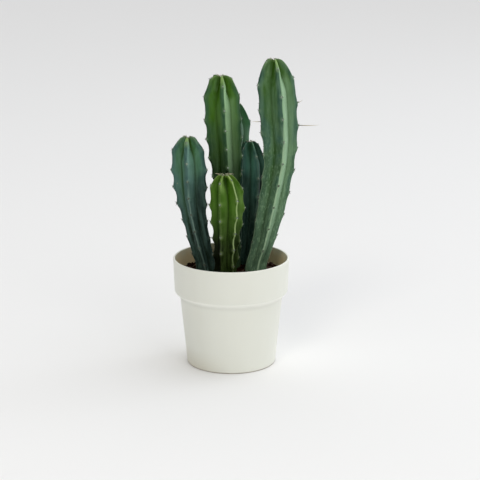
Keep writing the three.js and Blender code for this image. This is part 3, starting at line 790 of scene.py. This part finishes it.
skins = {
    "blueGreen": usualSkin | {
        "flank": "#46675B", "flankDeep": "#3D5F58", "young": "#42703C", "groove": "#355A30",
        "old": "#101C17", "bloomAndSheen": "#7FA69A", "crest": "#8CA699", "edge": "#2C4746", "tipGrooveShade": "#2E5214",
        "bud": "#86A460", "oldAndShadeSpan": (0.72, 0.28), "sheenHeightSpan": (0.35, 0.85), "tipGrooveShadeSpan": (3.2, 1.0),
        "streakAmount": 0.2, "paintedSheenAmount": 0.38, "speckAmount": 0.1, "crestAmount": 0.4,
        "edgeShadeAmount": 0.65,
    },
    "midGreen": usualSkin | {
        "flank": "#3C5E20", "flankDeep": "#36582D", "young": "#3C6604", "groove": "#335808",
        "old": "#0A2203", "bloomAndSheen": "#9ABE92", "crest": "#8FB07E", "edge": "#2C4E3A", "tipGrooveShade": "#2A4D00",
        "bud": "#7F9D5A", "oldAndShadeSpan": (0.82, 0.52), "sheenHeightSpan": (0.38, 0.96), "streakAmount": 0.08,
        "paintedSheenAmount": 0.97, "speckAmount": 0.04, "crestAmount": 0.2, "lineShadeAmount": 0.2,
        "edgeShadeAmount": 0.75,
    },
    "youngGreen": usualSkin | {
        "flank": "#3B5C18", "flankDeep": "#32510F", "young": "#3F6A10", "groove": "#264803",
        "old": "#081201", "bloomAndSheen": "#7F9F54", "crest": "#A9BF84", "edge": "#3C5A1E", "tipGrooveShade": "#203F00",
        "bud": "#86A64A", "oldAndShadeSpan": (0.68, 0.32), "sheenHeightSpan": (0.35, 0.62), "streakAmount": 0.12,
        "paintedSheenAmount": 0.6, "speckAmount": 0.05, "crestAmount": 0.62, "edgeShadeAmount": 0.3,
    },
    "waxGreen": usualSkin | {
        "flank": "#3D5B3C", "flankDeep": "#385848", "young": "#3B5D22", "groove": "#335625",
        "old": "#49624D", "bloomAndSheen": "#8DB08A", "crest": "#AECBA6", "edge": "#2D4C44", "tipGrooveShade": "#2E5208",
        "bud": "#8EAE6C", "oldAndShadeSpan": (0.5, 0.1), "sheenHeightSpan": (0.0, 0.5), "youngSpan": (92, 30),
        "streakAmount": 0.2, "paintedSheenAmount": 0.92, "speckAmount": 0.42, "crestAmount": 0.6,
        "lineShadeAmount": 0.22, "edgeShadeAmount": 0.7,
    },
    "deepBlue": usualSkin | {
        "flank": "#48776B", "flankDeep": "#386459", "young": "#4C7E62", "groove": "#34604E",
        "old": "#1B342A", "bloomAndSheen": "#8FB5A5", "crest": "#9AB8A4", "edge": "#24423C", "tipGrooveShade": "#2C5438",
        "bud": "#5E8A66", "oldAndShadeSpan": (0.8, 0.48), "streakAmount": 0.15, "paintedSheenAmount": 0.05,
        "speckAmount": 0.1, "edgeShadeAmount": 0.55,
    },
    "shadeGreen": usualSkin | {
        "flank": "#33603F", "flankDeep": "#2B543E", "young": "#396A38", "groove": "#2C5230",
        "old": "#16301C", "bloomAndSheen": "#86AA90", "crest": "#9AB8A4", "edge": "#264436", "tipGrooveShade": "#24481C",
        "bud": "#6E9460", "oldAndShadeSpan": (0.7, 0.3), "streakAmount": 0.12, "paintedSheenAmount": 0.3,
        "speckAmount": 0.15, "edgeShadeAmount": 0.6,
    },
}


def skinMaterial(name, skin):
    # Cactus epidermis under a coat of wax: satin, with painted sheen on the flanks turned to the light, clean
    # dark green where the wax is thin, painted shade in the grooves, beside the crests, low down and on the
    # sides the neighbours hide, and corky scars and flecks of wax on the old parts
    material, tree = newMaterial("cactus epidermis, wax coated, " + name)
    keys = "offCrest offGroove rise fresh toTip halo sunny crestShow budShow gloom"
    marks = {key: addNode(tree, "Attribute", {"attribute_name": key}).outputs["Fac"] for key in keys.split()}
    grain = addNode(tree, "Attribute", {"attribute_name": "grain"}).outputs["Vector"]
    patches = addNode(tree, "TexNoise", {"Scale": 0.06, "Detail": 2.0, "Roughness": 0.5},
                      {"Vector": grain})  # 17 mm across
    stretch = addNode(tree, "Mapping", {"Scale": (0.28, 0.28, 0.03)}, {"Vector": grain})  # 4 x 33 mm
    streaks = addNode(tree, "TexNoise", {"Scale": 1.0, "Detail": 3.0, "Roughness": 0.5},
                      {"Vector": stretch.outputs[0]})
    drawn = addNode(tree, "Mapping", {"Scale": (0.9, 0.9, 0.22)}, {"Vector": grain})  # 1.1 x 4.5 mm
    specks = addNode(tree, "TexNoise", {"Scale": 1.0, "Detail": 2.0, "Roughness": 0.65},
                     {"Vector": drawn.outputs[0]})
    # The pores are drawn at 0.4 mm, coarser than they are, so that they show
    pores = addNode(tree, "TexNoise", {"Scale": 2.4, "Detail": 2.0}, {"Vector": grain})
    scars = addNode(tree, "TexVoronoi", {"Scale": 0.07, "Randomness": 1.0}, {"Vector": grain})  # 14 mm apart

    # Where each layer shows: (what it follows, none there, full there, most of it)
    spans = {
        "patch": (patches.outputs[0], 0.42, 0.62, 1.0),
        "young": (marks["toTip"], *skin["youngSpan"], 0.9),
        "inner": (marks["offCrest"], 1.0, 6.0, 1.0),
        # a yellower green towards the groove, darkened there as painted shade
        "groove": (marks["offGroove"], 5.0, 0.6, 0.8),
        # painted shade beside the crests, held back where the painted sheen lies
        "edge": (marks["offCrest"], 6.5, 1.5, skin["edgeShadeAmount"]),
        "shaded": (marks["sunny"], 0.8, 0.3, 1.0),
        "plain": (marks["crestShow"], 1.0, 0.2, 1.0),
        "grown": (marks["toTip"], 14.0, 30.0, 1.0),
        # age low on the stems, plus painted shade low in the crowded cluster and on flanks facing neighbours
        "old": (marks["fresh"], *skin["oldAndShadeSpan"], 0.92),
        "streak": (streaks.outputs[0], 0.36, 0.68, skin["streakAmount"]),
        # painted sheen in the bloom colour on the flanks turned to the light
        "sunny": (marks["sunny"], 0.0, 1.0, skin["paintedSheenAmount"]),
        "sheenHeight": (marks["rise"], *skin["sheenHeightSpan"], 1.0),
        # painted shade in the deep grooves of the tip
        "tipGrooveShade": (marks["offGroove"], *skin["tipGrooveShadeSpan"], 0.9),
        "tipOnly": (marks["toTip"], 42.0, 20.0, 1.0),
        "bud": (marks["toTip"], 28.0, 15.0, 0.85),
        "budCrest": (marks["offCrest"], 5.0, 2.0, 1.0),
        # painted shade at the bottom of the grooves
        "line": (marks["offGroove"], 1.6, 0.15, skin["lineShadeAmount"]),
        "speck": (specks.outputs[0], 0.55, 0.64, skin["speckAmount"]),
        "lower": (marks["rise"], 0.8, 0.35, 1.0),
        "crest": (marks["offCrest"], 1.2, 0.45, skin["crestAmount"]),
        "halo": (marks["halo"], 0.15, 0.9, 0.25),
        "scar": (scars.outputs["Distance"], 0.055, 0.03, 0.4),
        # painted shadow of a neighbour on one side of the stem
        "gloom": (marks["gloom"], 0.0, 1.0, 0.85),
    }
    masks = {key: addNode(tree, "MapRange", {"From Min": none, "From Max": full, "To Max": most},
                          {"Value": follows}).outputs[0]
             for key, (follows, none, full, most) in spans.items()}
    limits = [  # the second holds the first back
        ("young", masks["inner"]), ("edge", masks["shaded"]), ("edge", masks["grown"]),
        ("edge", masks["plain"]), ("sunny", masks["sheenHeight"]), ("speck", masks["lower"]),
        ("tipGrooveShade", masks["tipOnly"]), ("bud", masks["budCrest"]), ("crest", marks["crestShow"]),
        ("bud", marks["budShow"]),
    ]
    for key, limit in limits:
        held = addNode(tree, "Math", {"operation": "MULTIPLY"}, {0: masks[key], 1: limit})
        masks[key] = held.outputs[0]
    layers = {  # each is laid over the ones before it
        "patch": "flankDeep", "young": "young", "groove": "groove", "edge": "edge", "old": "old",
        "streak": "bloomAndSheen", "sunny": "bloomAndSheen", "tipGrooveShade": "tipGrooveShade", "line": "line", "bud": "bud",
        "speck": "bloomAndSheen", "halo": "crest", "crest": "crest", "scar": "scar", "gloom": "gloom",
    }
    shade = None
    for layer, colour in layers.items():
        links = {0: masks[layer]}
        if shade is not None:
            links[6] = shade.outputs[2]
        shade = addNode(tree, "Mix", {"data_type": "RGBA", 6: skin["flank"], 7: skin[colour]}, links)
    # the coat follows the painted sheen
    coat = addNode(tree, "MapRange", {"To Max": 0.5}, {"Value": masks["sunny"]})
    rough = addNode(tree, "MapRange", {"From Min": 0.3, "From Max": 0.7, "To Min": 0.4, "To Max": 0.52},
                    {"Value": streaks.outputs[0]})
    relief = addNode(tree, "Math", {"operation": "MULTIPLY_ADD", 1: 0.35},
                     {0: pores.outputs[0], 2: specks.outputs[0]})
    bump = addNode(tree, "Bump", {"Strength": 0.2, "Distance": 0.0002}, {"Height": relief.outputs[0]})
    shader = addNode(tree, "BsdfPrincipled", {
        "IOR": 1.45, "Specular IOR Level": 0.06, "Coat IOR": 1.45, "Coat Roughness": 0.42}, {
        "Base Color": shade.outputs[2], "Roughness": rough.outputs[0], "Coat Weight": coat.outputs[0],
        "Normal": bump.outputs[0]})
    addNode(tree, "OutputMaterial", links={"Surface": shader.outputs[0]})
    return material


# Areoles: wool and spines

armour = {
    "seed": 40,
    "bareFoot": 2,  # no areoles in the soil or this close above it
    "pad": {"wide": 2.0, "tall": 2.2, "proud": 0.9, "sink": 0.15, "varies": (0.85, 1.15),
            "lumps": 0.3, "lumpShare": 2.2},
    "fibres": {"count": 9, "length": 1.1, "thickness": 0.13, "taper": (1, 0.7, 0.2), "bow": 0.1,
               "sides": 3, "varies": (0.7, 1.3), "spread": (-0.6, 0.6),
               "outward": (0.4, 1), "across": (-1, 1), "rising": (-0.6, 0.9)},
    "spines": {"count": (3, 5), "length": (1.2, 2.6), "thickness": 0.55, "bow": 0.05,
               "taper": (1, 0.9, 0.7, 0.42, 0.06), "root": 0.4,  # root is how deep it starts
               "sides": 5, "outward": (0.5, 1.1), "across": 0.9, "rising": 0.8, "spread": (0.5, 0.6),
               "youngThickness": 0.5, "youngLength": 0.4},  # as shares, where an areole just starts
    "longSpines": {"root": 0.8, "rootSwell": 1.25, "steps": 12, "sides": 8, "taper": 0.94,
                   "taperPower": 2.2},
    "paleSpines": 12,  # spines within this of the tip's middle are young and pale
    "greyest": 0.85,  # how far the oldest felt has turned grey
    "woolColour": "#9DB19E",
    "woolShade": "#71836F",
    "woolOld": "#3F4636",
    "darkSpine": ("#0E0C0A", "#2A241E"),  # at the root and at the point
    "paleSpine": ("#2C2822", "#B9AE92"),
}


def feltMaterial():
    # Areole felt: short matted hairs, a dull grey white with a green cast, with painted shade in its
    # hollows, and darker where it is old
    felt, tree = newMaterial("areole felt, matted")
    place = addNode(tree, "TexCoord").outputs["Object"]
    tufts = addNode(tree, "TexNoise", {"Scale": 1400.0, "Detail": 3.0}, {"Vector": place})  # 0.7 mm tufts
    share = addNode(tree, "MapRange", {"From Min": 0.4, "From Max": 0.62}, {"Value": tufts.outputs[0]})
    baseTone = addNode(tree, "Mix", {"data_type": "RGBA", 6: armour["woolShade"], 7: armour["woolColour"]},
                    {0: share.outputs[0]})
    age = addNode(tree, "Attribute", {"attribute_name": "tone"}).outputs["Fac"]
    shade = addNode(tree, "Mix", {"data_type": "RGBA", 7: armour["woolOld"]},
                    {0: age, 6: baseTone.outputs[2]})
    bump = addNode(tree, "Bump", {"Strength": 0.6, "Distance": 0.0003}, {"Height": tufts.outputs[0]})
    shader = addNode(tree, "BsdfPrincipled", {
        "Roughness": 0.95, "Specular IOR Level": 0.2, "Sheen Weight": 0.4}, {
        "Base Color": shade.outputs[2], "Normal": bump.outputs[0]})
    addNode(tree, "OutputMaterial", links={"Surface": shader.outputs[0]})
    return felt


def spineMaterial(name, root, point):
    # Spine wood: hard and faintly glossy, near black where it is old and tan towards a young point
    wood, tree = newMaterial(name)
    place = addNode(tree, "TexCoord").outputs["Object"]
    reach = addNode(tree, "Attribute", {"attribute_name": "tone"}).outputs["Fac"]
    rings = addNode(tree, "TexNoise", {"Scale": 900.0, "Detail": 2.0}, {"Vector": place})  # 1.1 mm bands
    drift = addNode(tree, "Math", {"operation": "MULTIPLY_ADD", 1: 0.35, 2: -0.15}, {0: rings.outputs[0]})
    ringed = addNode(tree, "Math", {"operation": "ADD", "use_clamp": True}, {0: reach, 1: drift.outputs[0]})
    share = addNode(tree, "MapRange", {"From Min": 0.1, "From Max": 0.5}, {"Value": ringed.outputs[0]})
    shade = addNode(tree, "Mix", {"data_type": "RGBA", 6: root, 7: point}, {0: share.outputs[0]})
    shader = addNode(tree, "BsdfPrincipled", {"Roughness": 0.45, "IOR": 1.5},
                     {"Base Color": shade.outputs[2]})
    addNode(tree, "OutputMaterial", links={"Surface": shader.outputs[0]})
    return wood


def crestFrame(stem, rib, along):  # a point on the crest with its across, rising and outward directions
    spots, step = [], 0.3
    for at in (along - step, along, along + step):
        radius, z = (float(v) for v in crestAt(stem, rib, at))
        angle = float(ribAngle(stem, rib, at))
        x, y = axisAt(stem, z)
        spots.append(Vector((x + radius * math.cos(angle), y + radius * math.sin(angle), z)))
    across = Vector((-math.sin(angle), math.cos(angle), 0))
    rising = (spots[2] - spots[0]).normalized()
    return spots[1], across, rising, across.cross(rising).normalized()


# Many small forms that make one piece. The kind says which material a form has. Its tone runs from 0 at a
# tube's root to 1 at its point, and is the age of a pad of felt.
class MeshPile:
    def __init__(self):
        self.verts, self.faces, self.tones, self.kinds = [], [], [], []

    def addTube(self, line, radii, sides, kind=0):  # a tapered tube along a line, closed at both ends
        start, rows = len(self.verts), len(line)
        for i, (point, radius) in enumerate(zip(line, radii)):
            ahead = (line[min(i + 1, rows - 1)] - line[max(i - 1, 0)]).normalized()
            side = ahead.orthogonal().normalized()
            other = ahead.cross(side)
            for k in range(sides):
                turn = math.tau * k / sides
                self.verts.append(point + radius * (side * math.cos(turn) + other * math.sin(turn)))
                self.tones.append(i / (rows - 1))
        ends = [list(range(sides))[::-1], [(rows - 1) * sides + k for k in range(sides)]]
        for face in latheFaces(rows, sides) + ends:
            self.faces.append(tuple(start + v for v in face))
            self.kinds.append(kind)

    def addBlob(self, verts, faces, tone=0.0):
        start = len(self.verts)
        self.verts += verts
        self.tones += [tone] * len(verts)
        self.faces += [tuple(start + v for v in face) for face in faces]
        self.kinds += [0] * len(faces)

    def piece(self, name, materials):
        made = addPiece(name, [v * mm for v in self.verts], self.faces, materials, self.kinds)
        addAttribute(made, "tone", self.tones)
        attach(made, "root")


def ballForm(detail):
    ball = bmesh.new()
    bmesh.ops.create_icosphere(ball, subdivisions=detail, radius=1)
    verts = [v.co.copy() for v in ball.verts]
    faces = [tuple(v.index for v in f.verts) for f in ball.faces]
    ball.free()
    return verts, faces


def bowedLine(start, towards, length, bow, steps):  # bow is how far its middle hangs out of line
    side = Vector((0, 0, -1)) if abs(towards.z) < 0.7 else Vector((1, 0, 0))
    return [start + towards * length * i / steps + side * bow * 4 * (i / steps) * (1 - i / steps)
            for i in range(steps + 1)]


def addWool(felt, place, size, age, chance):
    spot, across, rising, outward = place
    pad, fibres = armour["pad"], armour["fibres"]
    ballVerts, ballFaces = ballForm(2)
    wide = pad["wide"] / 2 * size * chance.uniform(*pad["varies"])
    tall = pad["tall"] / 2 * size * chance.uniform(*pad["varies"])
    offset = randomOffset(chance, 50)
    verts = []
    for v in ballVerts:
        lump = 1 + pad["lumps"] * noise.noise(v * pad["lumpShare"] + offset)
        out = outward * (v.z * pad["proud"] * size - pad["sink"])
        verts.append(spot + (across * v.x * wide + rising * v.y * tall + out) * lump)
    felt.addBlob(verts, ballFaces, age)
    radii = [fibres["thickness"] * size * share for share in fibres["taper"]]
    for _ in range(fibres["count"]):
        lean = outward * chance.uniform(*fibres["outward"]) + across * chance.uniform(*fibres["across"])
        lean = (lean + rising * chance.uniform(*fibres["rising"])).normalized()
        root = spot + across * wide * chance.uniform(*fibres["spread"])
        root = root + rising * tall * chance.uniform(*fibres["spread"])
        length = fibres["length"] * size * chance.uniform(*fibres["varies"])
        line = bowedLine(root, lean, length, fibres["bow"], len(radii) - 1)
        felt.addTube(line, radii, fibres["sides"])


def addSpines(spines, place, size, kind, chance):
    spot, across, rising, outward = place
    form = armour["spines"]
    thick = form["thickness"] / 2 * (form["youngThickness"] + (1 - form["youngThickness"]) * size)
    radii = [thick * share for share in form["taper"]]
    grown = form["youngLength"] + (1 - form["youngLength"]) * size
    spreadAcross, spreadUp = form["spread"]
    for _ in range(chance.randint(*form["count"])):
        turn = chance.uniform(0, math.tau)
        side, above = across * math.cos(turn), rising * math.sin(turn)
        lean = outward * chance.uniform(*form["outward"]) + form["across"] * side + form["rising"] * above
        length = chance.uniform(*form["length"]) * grown
        root = spot + (spreadAcross * side + spreadUp * above) * size - outward * form["root"]
        line = bowedLine(root, lean.normalized(), length + form["root"], form["bow"] * length, len(radii) - 1)
        spines.addTube(line, radii, form["sides"], kind)


def addLongSpine(spines, stem, spine):
    form = armour["longSpines"]
    steps, thick = form["steps"], spine["thickness"] / 2
    towards = Vector(spine["towards"]).normalized()
    root = crestFrame(stem, spine["rib"], spine["along"])[0] - towards * form["root"]
    line = bowedLine(root, towards, spine["length"] + form["root"], spine["bow"], steps)
    radii = [thick * (1 - (i / steps) ** form["taperPower"] * form["taper"]) for i in range(steps + 1)]
    radii[0] = thick * form["rootSwell"]
    spines.addTube(line, radii, form["sides"], 1)


def buildArmour(name, stem, materials, chance):
    felt, spines = MeshPile(), MeshPile()
    end = runEnd(stem)
    for rib in range(stem["ribs"]):
        for along, size in areolesOn(stem, rib):
            if along < soilLevel + armour["bareFoot"]:
                continue
            place = crestFrame(stem, rib, along)
            height = (along - soilLevel) / (end - soilLevel)
            age = armour["greyest"] * float(smoothStep(*stem["woolAge"], height))
            addWool(felt, place, size, age, chance)
            pale = along > end - armour["paleSpines"]
            addSpines(spines, place, size, int(pale), chance)
    for spine in stem["longSpines"]:
        addLongSpine(spines, stem, spine)
    felt.piece("felt_" + name, materials[:1])
    spines.piece("spines_" + name, materials[1:])


# The skin of each stem and the name of the part's slot for it; the slot name is not used here
stemSkins = {
    "left": ("blueGreen", "skin_blue_green"),
    "middle": ("midGreen", "skin_green"),
    "front": ("youngGreen", "skin_young_green"),
    "right": ("waxGreen", "skin_green"),
    "back_right": ("deepBlue", "skin_blue_green"),
    "back": ("shadeGreen", "skin_green"),
}
woolAndWood = [
    feltMaterial(),
    spineMaterial("spine wood, grown dark", *armour["darkSpine"]),
    spineMaterial("spine wood, grown pale", *armour["paleSpine"]),
]
for order, (stemName, stem) in enumerate(stems.items()):
    skinName, slotName = stemSkins[stemName]
    buildSkin(stemName, stem, skinMaterial(skinName, skins[skinName]))
    buildArmour(stemName, stem, woolAndWood, random.Random(armour["seed"] + order))
    print("stem grown:", stemName)


# Soil

soil = {
    "seed": 11,
    "mound": 1.3,
    "edgeDrop": 1.8,  # how far it has shrunk down the wall
    "clods": {"height": 1.6, "size": 5.0, "mean": 0.45},
    "relief": {"height": 0.35, "size": 1.6},
    "pressed": {"height": 1.1, "reach": 3.5},  # it stands higher against each stem
    "wallGap": 0.15,
    "rings": 84,
    "sides": 230,
    "hairs": {"count": 26, "margin": 6.0, "clear": 1.0, "steps": 9, "step": 0.9, "thickness": 0.32,
              "sides": 4, "lift": 0.25, "arch": 1.0, "wander": 0.5},
}

# The loose bits that lie on it, at least margin from the wall and clear from the stems. The middle of
# each stands above the soil by a share of its size or thickness. Lumps is how uneven it is, and lumpShare
# how closely. Corners of 1 are round, less is squarer.
looseBits = {
    "soilCrumbs": {
        "material": "peat, damp crumbled", "count": 760, "margin": 2.0, "clear": 0.5,
        "size": (0.5, 2.0), "sizePower": 2.2, "stretch": [(0.7, 1.3), (0.7, 1.2), (0.6, 1)],
        "above": 0.25, "lumps": 0.45, "lumpShare": 1.7, "corners": 1.0},
    "barkChips": {
        "material": "pine bark, chipped", "count": 70, "margin": 4.5, "clear": 2.5,
        "sizes": [(2.2, 5.2), (1.0, 2.2), (0.35, 0.7)], "tilt": (-0.5, 0.5),
        "above": 0.6, "lumps": 0.35, "lumpShare": 2.5, "corners": 0.55},
    "perliteGrains": {
        "material": "perlite, expanded", "count": 42, "margin": 3.0, "clear": 1.0,
        "size": (0.5, 1.15), "above": 0.35, "lumps": 0.4, "lumpShare": 2.0, "corners": 1.0},
}

soilLooks = {
    # Almost black with red-brown fibres, no gloss
    "peat, damp crumbled": {
        "pattern": ("TexNoise", {"Scale": 320.0, "Detail": 4.0, "Roughness": 0.65}),  # 3 mm lumps
        "relief": ("TexVoronoi", {"Scale": 700.0}),  # 1.4 mm crumbs
        "span": (0.42, 0.66), "colours": ("#160701", "#381A0B"),
        "bump": {"Strength": 0.9, "Distance": 0.0008},
        "finish": {"Roughness": 0.92, "Specular IOR Level": 0.05}},
    # Long grain that shows red brown on the broken faces
    "pine bark, chipped": {
        "pattern": ("TexNoise", {"Scale": 600.0, "Detail": 4.0, "Distortion": 1.2}),  # 1.7 mm fibres
        "span": (0.0, 1.0), "colours": ("#24130A", "#4C2F1C"),
        "bump": {"Strength": 0.6, "Distance": 0.0005}, "finish": {"Roughness": 0.85}},
    # Dull off-white grains, dirty in their pores
    "perlite, expanded": {
        "pattern": ("TexVoronoi", {"Scale": 2200.0}),  # 0.45 mm pores
        "span": (0.0, 1.0), "colours": ("#6F6557", "#B9B1A0"), "finish": {"Roughness": 0.95}},
    # Pale tan threads
    "root hair, dried": {
        "pattern": ("TexNoise", {"Scale": 500.0}),  # 2 mm faded stretches
        "span": (0.0, 1.0), "colours": ("#5E503C", "#A39A80"), "finish": {"Roughness": 0.8}},
}


def soilMaterial(name):
    look = soilLooks[name]
    material, tree = newMaterial(name)
    place = {"Vector": addNode(tree, "TexCoord").outputs["Object"]}
    (low, high), (dark, pale) = look["span"], look["colours"]
    pattern = addNode(tree, *look["pattern"], place)
    share = addNode(tree, "MapRange", {"From Min": low, "From Max": high}, {"Value": pattern.outputs[0]})
    shade = addNode(tree, "Mix", {"data_type": "RGBA", 6: dark, 7: pale}, {0: share.outputs[0]})
    links = {"Base Color": shade.outputs[2]}
    if "bump" in look:
        relief = addNode(tree, *look["relief"], place) if "relief" in look else pattern
        links["Normal"] = addNode(tree, "Bump", look["bump"], {"Height": relief.outputs[0]}).outputs[0]
    shader = addNode(tree, "BsdfPrincipled", look["finish"], links)
    addNode(tree, "OutputMaterial", links={"Surface": shader.outputs[0]})
    return material


def offStem(stem, x, y):  # distance from the foot of a stem
    footX, footY, _ = stem["path"][0]
    return math.hypot(x - footX, y - footY) - stem["girth"][0][1]


def soilTop(x, y):
    share = math.hypot(x, y) / bandInside(soilLevel)
    # Three slow waves, 46 to 57 mm long
    mounds = math.sin(x * 0.11 + 1) + math.sin(y * 0.13 + x * 0.04) + math.sin(y * 0.07 - x * 0.09)
    z = soilLevel + soil["mound"] / 2 * mounds * (1 - share * share) - soil["edgeDrop"] * share ** 6
    spot = Vector((x, y, 3.0))
    clods, relief, pressed = soil["clods"], soil["relief"], soil["pressed"]
    z += clods["height"] * (noise.turbulence(spot / clods["size"], 3, False) - clods["mean"])
    z += relief["height"] * noise.noise(spot / relief["size"])
    for stem in stems.values():
        z += pressed["height"] * math.exp(-max(offStem(stem, x, y), 0) / pressed["reach"])
    return z


def openSoil(chance, margin, clear):  # a random place on the soil, clear of the stems
    while True:
        radius = (bandInside(soilLevel) - margin) * math.sqrt(chance.random())
        turn = chance.uniform(0, math.tau)
        x, y = radius * math.cos(turn), radius * math.sin(turn)
        if all(offStem(stem, x, y) > clear for stem in stems.values()):
            return x, y


def buildBed(peat):
    wall = bandInside(soilLevel) - soil["wallGap"]
    sides, rings = soil["sides"], soil["rings"]
    verts = []
    for ring in range(rings):
        radius = wall * (1 - ring / rings)
        for i in range(sides):
            turn = math.tau * i / sides
            x, y = radius * math.cos(turn), radius * math.sin(turn)
            verts.append(Vector((x, y, soilTop(x, y))) * mm)
    last, centre = (rings - 1) * sides, len(verts)
    verts.append(Vector((0, 0, soilTop(0, 0))) * mm)
    faces = latheFaces(rings, sides)
    faces += [(last + i, last + (i + 1) % sides, centre) for i in range(sides)]
    bed = addPiece("soilBed", verts, faces, [peat])
    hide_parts("soil")
    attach(bed, "root")


# These three give the sizes, the turn and the height of one loose bit
def crumbShape(bits, chance):
    least, most = bits["size"]
    size = least + (most - least) * chance.random() ** bits["sizePower"]
    axis = Vector([chance.uniform(-1, 1) for _ in range(3)]) + Vector((0, 0, 0.01))
    turn = Matrix.Rotation(chance.uniform(0, math.tau), 3, axis.normalized())
    stretch = Vector([chance.uniform(*span) for span in bits["stretch"]])
    return stretch * size, turn, size * bits["above"]


def chipShape(bits, chance):
    sizes = Vector([chance.uniform(*span) for span in bits["sizes"]])
    heading = Matrix.Rotation(chance.uniform(0, math.tau), 3, "Z")
    turn = heading @ Matrix.Rotation(chance.uniform(*bits["tilt"]), 3, "X")
    return sizes, turn, sizes.z * bits["above"]


def grainShape(bits, chance):
    size = chance.uniform(*bits["size"])
    return Vector((size, size, size)), Matrix.Identity(3), size * bits["above"]


def buildBits(name, bits, shapeOf, material, chance):
    pile = MeshPile()
    ballVerts, ballFaces = ballForm(2)
    for _ in range(bits["count"]):
        x, y = openSoil(chance, bits["margin"], bits["clear"])
        sizes, turn, above = shapeOf(bits, chance)
        offset = randomOffset(chance, 90)
        middle = Vector((x, y, soilTop(x, y) + above))
        verts = []
        for v in ballVerts:
            point = Vector([math.copysign(abs(c) ** bits["corners"], c) for c in v]) * sizes
            lump = 1 + bits["lumps"] * noise.noise(v * bits["lumpShare"] + offset)
            verts.append(middle + turn @ point * lump)
        pile.addBlob(verts, ballFaces)
    pile.piece(name, [material])


def buildHairs(material, chance):
    hairs, form = MeshPile(), soil["hairs"]
    for _ in range(form["count"]):
        x, y = openSoil(chance, form["margin"], form["clear"])
        heading, line = chance.uniform(0, math.tau), []
        for step in range(form["steps"]):
            lift = form["lift"] + form["arch"] * math.sin(math.pi * step / (form["steps"] - 1))
            line.append(Vector((x, y, soilTop(x, y) + lift)))
            heading += chance.uniform(-form["wander"], form["wander"])
            x, y = x + form["step"] * math.cos(heading), y + form["step"] * math.sin(heading)
        hairs.addTube(line, [form["thickness"] / 2] * form["steps"], form["sides"])
    hairs.piece("rootHairs", [material])


def buildSoil():
    chance = random.Random(soil["seed"])
    materials = {name: soilMaterial(name) for name in soilLooks}
    buildBed(materials["peat, damp crumbled"])
    for shapeOf, (name, bits) in zip((crumbShape, chipShape, grainShape), looseBits.items()):
        buildBits(name, bits, shapeOf, materials[bits["material"]], chance)
    buildHairs(materials["root hair, dried"], chance)


buildSoil()
print("soil filled")


# Finish

print("scene built")
